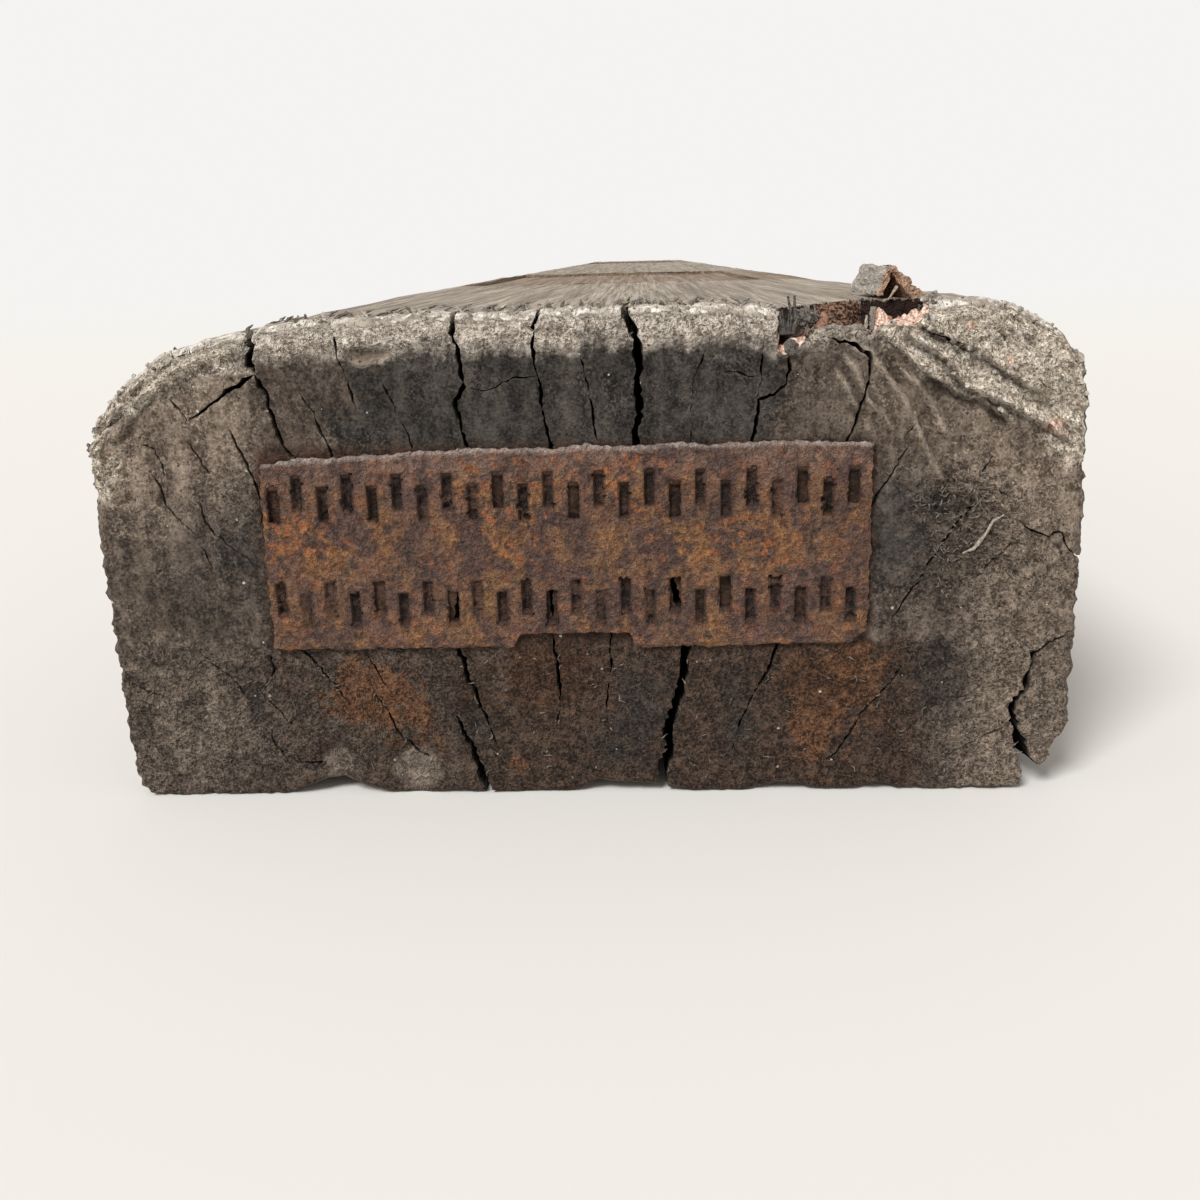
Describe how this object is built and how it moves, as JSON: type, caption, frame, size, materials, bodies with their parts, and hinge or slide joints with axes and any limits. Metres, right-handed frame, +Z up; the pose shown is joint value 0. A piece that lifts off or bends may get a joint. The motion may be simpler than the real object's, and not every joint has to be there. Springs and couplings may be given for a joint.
{
  "type": "railway sleeper",
  "caption": "Reclaimed timber railway sleeper with a nail plate on one end, split and weathered end grain, waney top edge, and two rail seats bored for screws.",
  "frame": {"origin": "middle of the underside, halfway along the sleeper and halfway across it", "axes": "+X across the sleeper, +Y along it away from the plated end, +Z up; the plated end faces -Y"},
  "size_m": [0.254, 2.592, 0.1374],
  "materials": {
    "timber": "weathered",
    "rusted_steel": "rusted"
  },
  "bodies": {
    "root": {"sleeper_timber": "timber", "nail_plate": "rusted_steel"}
  },
  "joints": []
}
